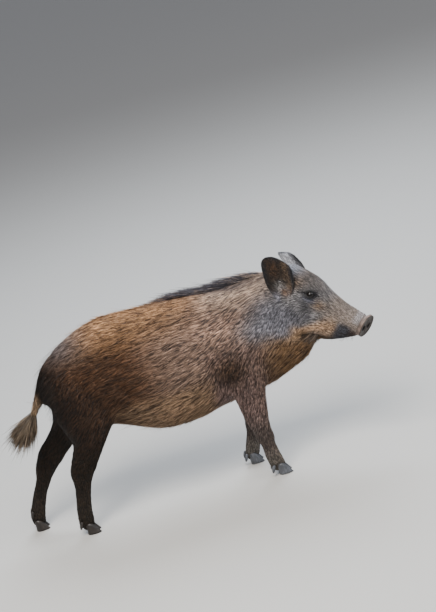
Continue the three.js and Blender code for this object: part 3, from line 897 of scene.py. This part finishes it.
def horn(name, deep, middling, worn):
    """Horn of one pair of feet, from its darkest colour to that of its worn ridges."""
    made, tree, shader = material(name, 0.42)
    point = object_point(tree)
    tall = Wire.node(tree, "ShaderNodeMapping", None, {"Vector": point, "Scale": (1, 1, 0.12)})
    grain = noise(tree, tall, 380.0, 4.0)
    rings = noise(tree, point, 60.0, 5.0)
    banded(tree, shader, [(0.3, deep), (0.55, middling), (0.8, worn)], 0.55 * grain + 0.45 * rings)
    (0.34 + 0.3 * grain).into(shader.inputs["Roughness"])
    relief(tree, shader, 0.6, 0.0008, grain)
    return made


fore_horn = horn("fore hoof horn", (36, 37, 40), (74, 76, 81), (124, 128, 136))
hind_horn = horn("hind hoof horn", (16, 13, 11), (33, 27, 23), (64, 54, 46))
SOLE = 0.0008
for leg in LEGS:
    for kind in ("hoof", "dewclaw"):
        for place in ("outer", "inner"):
            node = f"{kind}_{leg}_{place}"
            claw = bmesh.new()
            claw.from_mesh(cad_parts[node].data)
            bmesh.ops.remove_doubles(claw, verts=claw.verts, dist=1e-6)
            crease = claw.edges.layers.float.new("crease_edge")
            for edge in claw.edges:
                if kind == "hoof" and all(vertex.co.z < SOLE for vertex in edge.verts):
                    edge[crease] = 0.9
            made = shaped(f"{node}_horn", claw)
            rounding = made.modifiers.new("rounding", "SUBSURF")
            rounding.levels = rounding.render_levels = 2
            smooth(made.data)
            made.data.materials.append(fore_horn if leg.startswith("fore") else hind_horn)
            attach(made, "root")
            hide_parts(node)

# ---- The coat: locks of bristle ----
# Each lock is a thin three-sided blade that starts in the skin, lies along it and ends in a point.
# They overlap like thatch, so that they cover the skin and break up its outline.
PATCH = 0.003  # a lock's size on the coat's map


def settled(places):
    """The nearest points of the skin to these, and the way out of it there."""
    found = [skin_tree.find_nearest(place)[:2] for place in places]
    return np.array([near for near, _ in found]), np.array([way for _, way in found])


skin.data.calc_loop_triangles()
triangles = read(skin.data.loop_triangles, "vertices", 3, int)
skin_tree = BVHTree.FromPolygons(places.tolist(), triangles.tolist())


def locks(name, start, colours, patches, finish, stations=(0, 0.42), sink=0.0012, hug=True):
    """One mesh of locks. start has each one's root, lie, outward way, length, half width and lift.
    colours gives their colours at a share of the length, and patches their places on the map."""
    root, lies, ways, length, half, lift = start
    count = len(root)
    layers, shades, strands, flat = [], [], [], []
    seed = np.arange(count) % 97 / 97
    for share in (*stations, 1):
        middle = root + lies * (length * share)[:, None]
        way = ways
        if hug and share > 0:
            middle, way = settled(middle)
        middle = middle + way * (lift * (1 - (1 - share) ** 2) - sink * (share == 0))[:, None]
        side = unit(np.cross(lies, way))
        wide = half * (0.8 + 1.1 * share - 1.9 * share**2)
        rows = [(0, 1)] if share == 1 else [(-1, 0), (0, 1), (1, 0)]
        for across, ridge in rows:
            rise = way * (wide * 0.6 * ridge)[:, None]
            layers.append(middle + side * (wide * across)[:, None] + rise * (share < 1))
            shades.append(colours(share))
            strands.append(np.stack([np.full(count, across), np.full(count, share), seed], axis=1))
            flat.append(patches + np.array((across / 2, share + 0.1 * ridge * (share == 0))) * PATCH)
    rows = len(layers)
    corners = []
    for ring in range(len(stations) - 1):
        for first, second in ((0, 1), (1, 2), (2, 0)):
            a, b = 3 * ring + first, 3 * ring + second
            corners += [(a, b, a + 3), (b, b + 3, a + 3)]
    last = rows - 4
    corners += [(last + first, last + second, rows - 1) for first, second in ((0, 1), (1, 2), (2, 0))]
    corners.append((0, 2, 1))
    corners = (np.array(corners)[None] + rows * np.arange(count)[:, None, None]).reshape(-1)

    def stack(pieces):
        return np.stack(pieces, axis=1).reshape(rows * count, -1)

    mesh = bpy.data.meshes.new(name)
    mesh.vertices.add(rows * count)
    mesh.vertices.foreach_set("co", stack(layers).ravel())
    mesh.loops.add(len(corners))
    mesh.loops.foreach_set("vertex_index", corners)
    mesh.polygons.add(len(corners) // 3)
    mesh.polygons.foreach_set("loop_start", np.arange(0, len(corners), 3))
    mesh.polygons.foreach_set("use_smooth", np.ones(len(corners) // 3, dtype=bool))
    mesh.update(calc_edges=True)
    give(mesh, "marking", "FLOAT_COLOR", opaque(stack(shades)))
    give(mesh, "strand", "FLOAT_VECTOR", stack(strands))
    mesh.uv_layers.new(name="OFBake").uv.foreach_set("vector", stack(flat)[corners].ravel())
    made = link(name, mesh)
    mesh.materials.append(finish)
    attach(made, "root")
    return made


def bristle(name, roughness):
    """Hair of which a lock's strands show as fine lines, lighter and darker, along its length."""
    made, tree, shader = material(name, roughness)
    shader.inputs["Specular IOR Level"].default_value = 0.3
    strand = carried(tree, "strand", "Vector")
    spread = Wire.node(tree, "ShaderNodeMapping", None, {"Vector": strand, "Scale": (2.6, 0.5, 60)})
    lines = noise(tree, spread, 2.0, 2.0)
    shaded(tree, shader, carried(tree, "marking", "Color"), 0.55 + 0.9 * lines)
    (roughness - 0.12 + 0.24 * lines).into(shader.inputs["Roughness"])
    relief(tree, shader, 0.35, 0.0006, lines)
    return made


# The roots are strewn evenly over the skin, closer together where the hair is finer.
chance = np.random.default_rng(7)
first, second, third = (places[triangles[:, corner]] for corner in range(3))
areas = np.linalg.norm(np.cross(second - first, third - first), axis=1) / 2
growing = 1 - ramp(bare, 0.35, 0.7)
density = (growing / (hair[:, 3] / 1000) ** 2)[triangles].mean(axis=1) * areas
total = np.cumsum(density)
count = int(total[-1])
chosen = np.searchsorted(total, (np.arange(count) + chance.uniform(size=count)) * (total[-1] / count))
chosen = np.minimum(chosen, len(triangles) - 1)
mix = chance.uniform(size=(count, 2))
mix = np.where(mix.sum(axis=1, keepdims=True) > 1, 1 - mix, mix)
shares = np.stack([1 - mix.sum(axis=1), mix[:, 0], mix[:, 1]], axis=1)


def at_roots(values):
    return np.einsum("ij,ijk->ik", shares, values[triangles[chosen]])


root = at_roots(places)
root_out = unit(at_roots(outward))
root_lie = at_roots(lie)
swirl = 0.075 * chance.normal(size=count) + 0.12 * uneven(root, 0.03, 11)
root_side = np.cross(root_out, root_lie)
root_lie = unit(root_lie * np.cos(swirl)[:, None] + root_side * np.sin(swirl)[:, None])
root_hair = at_roots(hair) / 1000
root_dark = at_roots(dark)
root_light = at_roots(light)
root_part = number[triangles[chosen, 0]]
root_local = to_head(root)
long_share = np.exp(0.22 * chance.normal(size=count))
wide_share = 0.84 * np.exp(0.25 * chance.normal(size=count))
lift_share = chance.uniform(0.45, 1.35, size=count)
# How pale a lock is, from its own chance and from patches that neighbours share.
pale = np.where(chance.uniform(size=count) < 0.44, 0.95, 0.17) + 0.16 * chance.normal(size=count)
pale = np.clip(pale + 0.05 * uneven(root, 0.007, 21), 0, 1.3)


def round_axis(centre_y, centre_z):
    return np.arctan2(root[:, 1] - centre_y, root[:, 2] - centre_z)


def unrolled(members, along, around):
    """The coat's map: the skin under these roots, unrolled round the part's axis to fill a square."""
    flat = np.stack([along, around], axis=1)[members]
    low, high = flat.min(axis=0), flat.max(axis=0)
    return 0.004 + 0.988 * (flat - low) / (high - low + 1e-9)


def root_is(*names):
    return np.isin(root_part, [parts.index(name) for name in names])


# A leg is unrolled round the line of its own middles, and the two legs of a pair lie side by side.
LEVELS = 26
leg_turn, leg_along, ear_turn, ear_along = np.zeros((4, count))
level = np.digitize(root[:, 2], np.linspace(0, 0.6, LEVELS - 1))
for order, leg in enumerate(LEGS):
    mine = root_is(f"{leg}_upper", f"{leg}_lower")
    at_levels = [mine & (level == step) for step in range(LEVELS)]
    middles = [root[here].mean(axis=0) if here.any() else (0, 0, 0) for here in at_levels]
    middle = np.array(middles)[level]
    turn_round = np.arctan2(root[:, 1] - middle[:, 1], root[:, 0] - middle[:, 0])
    leg_turn[mine] = (turn_round[mine] + 3.2) / 6.4 * 0.96 + order % 2
    leg_along[mine] = root[mine, 2]
for order, (name, pose) in enumerate(zip(EARS, EAR_POSE.values())):
    mine = root_is(name)
    within = (root_local - np.array(pose["base"])) @ ear_axes(pose)
    back = (root_out @ axes) @ ear_axes(pose)[:, 1] > 0
    ear_turn[mine] = (within[:, 0] / 110 + 0.5 + back + 2 * order)[mine]
    ear_along[mine] = within[mine, 2]
trunk_roots = root_is("trunk")
around_body = round_axis(body_y, 0.42)
fore_legs = root_is(*[f"{leg}_{half}" for leg in LEGS[:2] for half in ("upper", "lower")])
hind_legs = root_is(*[f"{leg}_{half}" for leg in LEGS[2:] for half in ("upper", "lower")])
head_turn = np.arctan2(root_local[:, 1], root_local[:, 2] + 30)
slices = np.digitize(root[:, 0], np.quantile(root[trunk_roots, 0], (0.34, 0.67)))
coat_finish = bristle("body bristle", 0.62)
face_finish = bristle("face hair", 0.6)
leg_finish = bristle("leg hair", 0.6)
neck_turn = round_axis(body_y - 0.02, 0.45)
SHANK_TOP = 0.25
# Each piece of coat: its roots, the two ways that its map is unrolled, its finish and its slot.
COATS = [
    ("coat_rump", trunk_roots & (slices == 0), root[:, 0], around_body, coat_finish, "coat"),
    ("coat_flank", trunk_roots & (slices == 1), root[:, 0], around_body, coat_finish, "coat"),
    ("coat_girth", trunk_roots & (slices == 2), root[:, 0], around_body, coat_finish, "coat"),
    ("coat_neck", root_is("neck"), root[:, 0], neck_turn, coat_finish, "coat"),
    ("coat_head", root_is("head", "jaw", "nose_disc"), root_local[:, 0], head_turn, face_finish,
     "head_coat"),
    ("coat_ears", root_is(*EARS), ear_along, ear_turn, face_finish, "head_coat"),
    ("coat_forelegs", fore_legs, leg_along, leg_turn, leg_finish, "leg_coat"),
    ("coat_thighs", hind_legs & (root[:, 2] > SHANK_TOP), leg_along, leg_turn, leg_finish, "leg_coat"),
    ("coat_shanks", hind_legs & (root[:, 2] <= SHANK_TOP), leg_along, leg_turn, leg_finish, "leg_coat"),
    ("coat_tail", root_is("tail"), root[:, 2], round_axis(body_y, 0.45), coat_finish, "tail_hair"),
]
for name, members, along, turning, finish, slot_name in COATS:
    start = [root, root_lie, root_out, root_hair[:, 0] * long_share, root_hair[:, 1] * wide_share,
             root_hair[:, 2] * lift_share]
    start = [values[members] for values in start]
    deep, bright, paleness = root_dark[members], root_light[members], pale[members][:, None]

    def shade_at(share):
        own = deep + (bright - deep) * np.clip(paleness * (0.55 + 0.75 * share), 0, 1.1)
        return own * (0.5 + 0.5 * min(1, share * 3))

    made = locks(name, start, shade_at, unrolled(members, along, turning), finish)


# ---- The mane ----
# Long coarse bristles along the spine, from the poll to the loin, dark with greyish ends. They
# stand up a little from their roots and lean back over each other.
def grown(test, number_of, seed):
    """Roots of longer hairs: picks from the coat's own roots where the test holds."""
    pool = np.flatnonzero(test)
    return np.random.default_rng(seed).choice(pool, size=number_of)


def fringe(name, members, size, way, colours, along, turning):
    """Long hair from some of the roots. size is the length, half width and lift, in millimetres,
    way is the way that it grows, or None for the lie of the coat, and colours are those of its roots
    and its tips."""
    spread = np.random.default_rng(len(members))
    vary = np.exp(0.18 * spread.normal(size=(len(members), 2)))
    ways = root_lie[members] if way is None else np.full((len(members), 3), way, float)
    ways = unit(ways + 0.09 * spread.normal(size=ways.shape))
    length, half, lift = (np.full(len(members), value, float) / 1000 for value in size)
    beside = root[members] + 0.0012 * spread.normal(size=ways.shape)
    start = [beside, ways, root_out[members], length * vary[:, 0], half * vary[:, 1], lift * vary[:, 0]]
    mixing = np.clip(0.4 + 0.35 * spread.normal(size=len(members)), 0, 1.1)[:, None]
    deep, bright = colours
    mask = np.zeros(count, dtype=bool)
    mask[members] = True
    patches = np.zeros((count, 2))
    patches[mask] = unrolled(mask, along, turning)

    def shade_at(share):
        own = deep + (bright - deep) * mixing * (0.5 + 0.8 * share)
        return own * (0.6 + 0.4 * min(1, 2.5 * share))

    made = locks(name, start, shade_at, patches[members], long_hair, stations=(0, 0.3, 0.65), hug=False)
    return made


long_hair = bristle("long bristle", 0.5)
spine = body_y + np.interp(root[:, 0], (-0.1, 0.2, 0.27, 0.33, 0.4), (0, -0.002, -0.012, -0.022, -0.04))
# How full the mane is along the back.
crest = 0.12 + 0.88 * ramp(root[:, 0], -0.06, 0.13) * ramp(root[:, 0], 0.36, 0.2)
crest *= ramp(root[:, 0], -0.22, -0.1) * ramp(root[:, 0], 0.4, 0.33)
on_crest = (np.abs(root[:, 1] - spine) < 0.001 + 0.011 * crest) & (crest > 0.02)
on_crest &= root_out[:, 2] > 0.6
members = grown(on_crest & root_is("trunk", "neck", "head"), 4400, 31)
off_spine = root[members, 1] - spine[members]
tall = crest[members] * hollow(off_spine, 0.016)
luck = 1 + 0.5 * np.random.default_rng(35).normal(size=len(members))
darkened = ramp(crest[members] * hollow(off_spine, 0.013) * luck, 0.2, 0.5)[:, None]
mane_colours = [own[members] + darkened * (tint(*colour) - own[members])
                for own, colour in ((root_dark, (24, 23, 28)), (root_light, (102, 99, 108)))]
mane = fringe(
    "mane_bristles", members, (24 + 26 * tall, 0.9, 4 + 11 * tall), (-1, 0, 0.1), mane_colours,
    root[:, 0], root[:, 1],
)
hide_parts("mane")

# ---- The ruff, the guard hairs and the whiskers ----
# Longer bristle hangs at the throat and behind the jaw. Single long hairs stand out of the coat
# all over the body, and stiff dark ones grow on the lids, the lips and the chin.
root_x, _, root_z = root_local.T
hanging = root_z - jaw_at(root_x)
ruff_roots = root_is("head", "jaw", "neck") & (np.abs(hanging + 25) < 19)
ruff_roots &= (root_x > -25) & (root_x < 140)
members = grown(ruff_roots, 2400, 41)
fringe(
    "ruff", members, (36, 0.8, 6), axes @ (-0.5, 0, -1),
    (root_dark[members] * 0.8, root_light[members] * 1.1), root_x, head_turn,
)
upper_legs = root_is(*[f"{leg}_upper" for leg in LEGS])
guard_roots = root_is("trunk", "neck") | (upper_legs & (root[:, 2] > 0.3))
members = grown(guard_roots, 4200, 42)
fringe(
    "guard_hairs", members, (44, 0.45, 8), None,
    (root_dark[members] * 0.7, root_light[members] * 1.12), root[:, 0], around_body,
)
eye_gap, lash_along, lash_over = round_the_eye(root_local)
lash_roots = root_is("head") & (np.abs(lash_along) < 14) & (np.abs(lash_over - 13) < 5)
lash_roots &= eye_gap < 24
chin_roots = root_is("head", "jaw") & (root_x > 170) & (root_x < MUZZLE_END - 12) & (hanging < 12)
feeler_roots = root_is("head") & (root_x > 120) & (root_x < MUZZLE_END - 14) & (root_z < 0)
kinds = (70, 90, 50)  # how many lashes, hairs of the chin and feelers
members = np.concatenate([grown(lash_roots, kinds[0], 43), grown(chin_roots, kinds[1], 44),
                          grown(feeler_roots, kinds[2], 45)])
ways = np.repeat([(0.6, 0, -0.5), (-0.5, 0, -0.7), (0.2, 0, -0.5)], kinds, axis=0) @ axes.T
ways = ways + np.repeat([0.35, 0.5, 0.8], kinds)[:, None] * root_out[members]
lengths = np.repeat([9, 14, 20], kinds)
fringe(
    "whiskers", members, (lengths, 0.28, 1), ways, (tint(14, 12, 12), tint(60, 54, 52)),
    root_x, head_turn,
)

# ---- The tail's tuft ----
# A brush of long hair from the last third of the tail, black at the root and tan among the ends.
low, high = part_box("tail_tuft")
start_z = low.z + 0.72 * (high.z - low.z)
members = grown(root_is("tail") & (root[:, 2] < start_z + 0.03), 3600, 32)
fanning = np.random.default_rng(33).uniform(-0.3, 0.3, size=len(members))
ways = np.stack([-0.66 - fanning, 0.16 * np.random.default_rng(34).normal(size=len(members)),
                 -0.75 + 0.6 * fanning], axis=1)
tuft = fringe(
    "tail_brush", members, (92 - 50 * np.abs(fanning), 0.8, 5), ways,
    (tint(24, 20, 18), tint(150, 130, 108)), root[:, 2], round_axis(body_y, 0.4),
)
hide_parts("tail_tuft")
